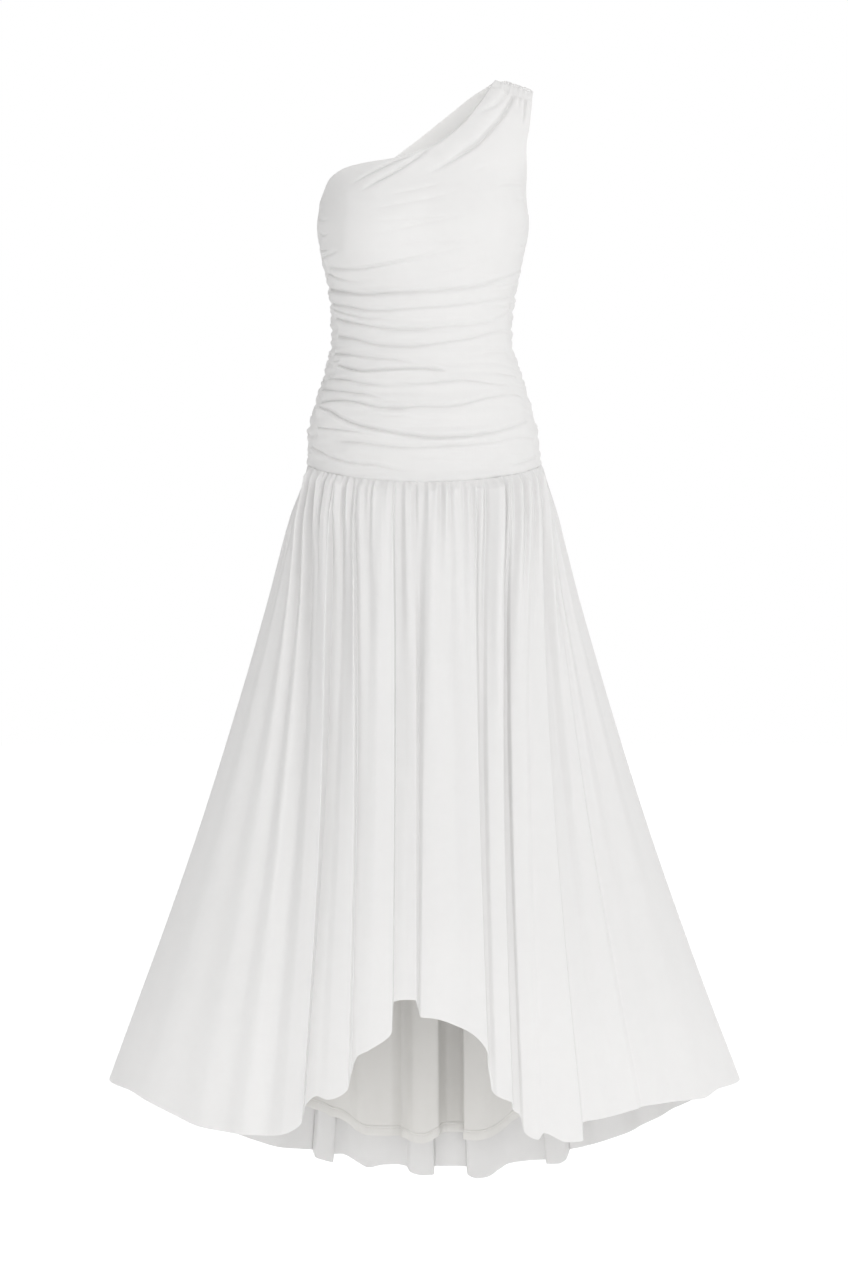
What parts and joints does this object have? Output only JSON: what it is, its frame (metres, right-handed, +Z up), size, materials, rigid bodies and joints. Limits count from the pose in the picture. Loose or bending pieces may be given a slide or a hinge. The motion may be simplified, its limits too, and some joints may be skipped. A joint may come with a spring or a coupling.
{
  "type": "one-shoulder dress",
  "caption": "Long one-shoulder dress with a ruched bodice, a dropped waist seam and a gathered, lined skirt that is short in front and long behind.",
  "frame": {"origin": "inside of the middle of the shoulder seam, where the dress is held up", "axes": "+Z up, the front faces -Y, and +X towards the wearer's left, the side of the strap"},
  "size_m": [0.882, 0.6575, 1.5961],
  "materials": {
    "bodice_jersey": "matt white fine jersey, ruched",
    "skirt_jersey": "matt white fine jersey, gathered",
    "lining_jersey": "off-white smooth lining"
  },
  "bodies": {
    "root": {"bodice_front": "bodice_jersey", "bodice_back": "bodice_jersey", "skirt_front": "skirt_jersey", "skirt_back": "skirt_jersey", "lining_front": "lining_jersey", "lining_back": "lining_jersey"}
  },
  "joints": []
}
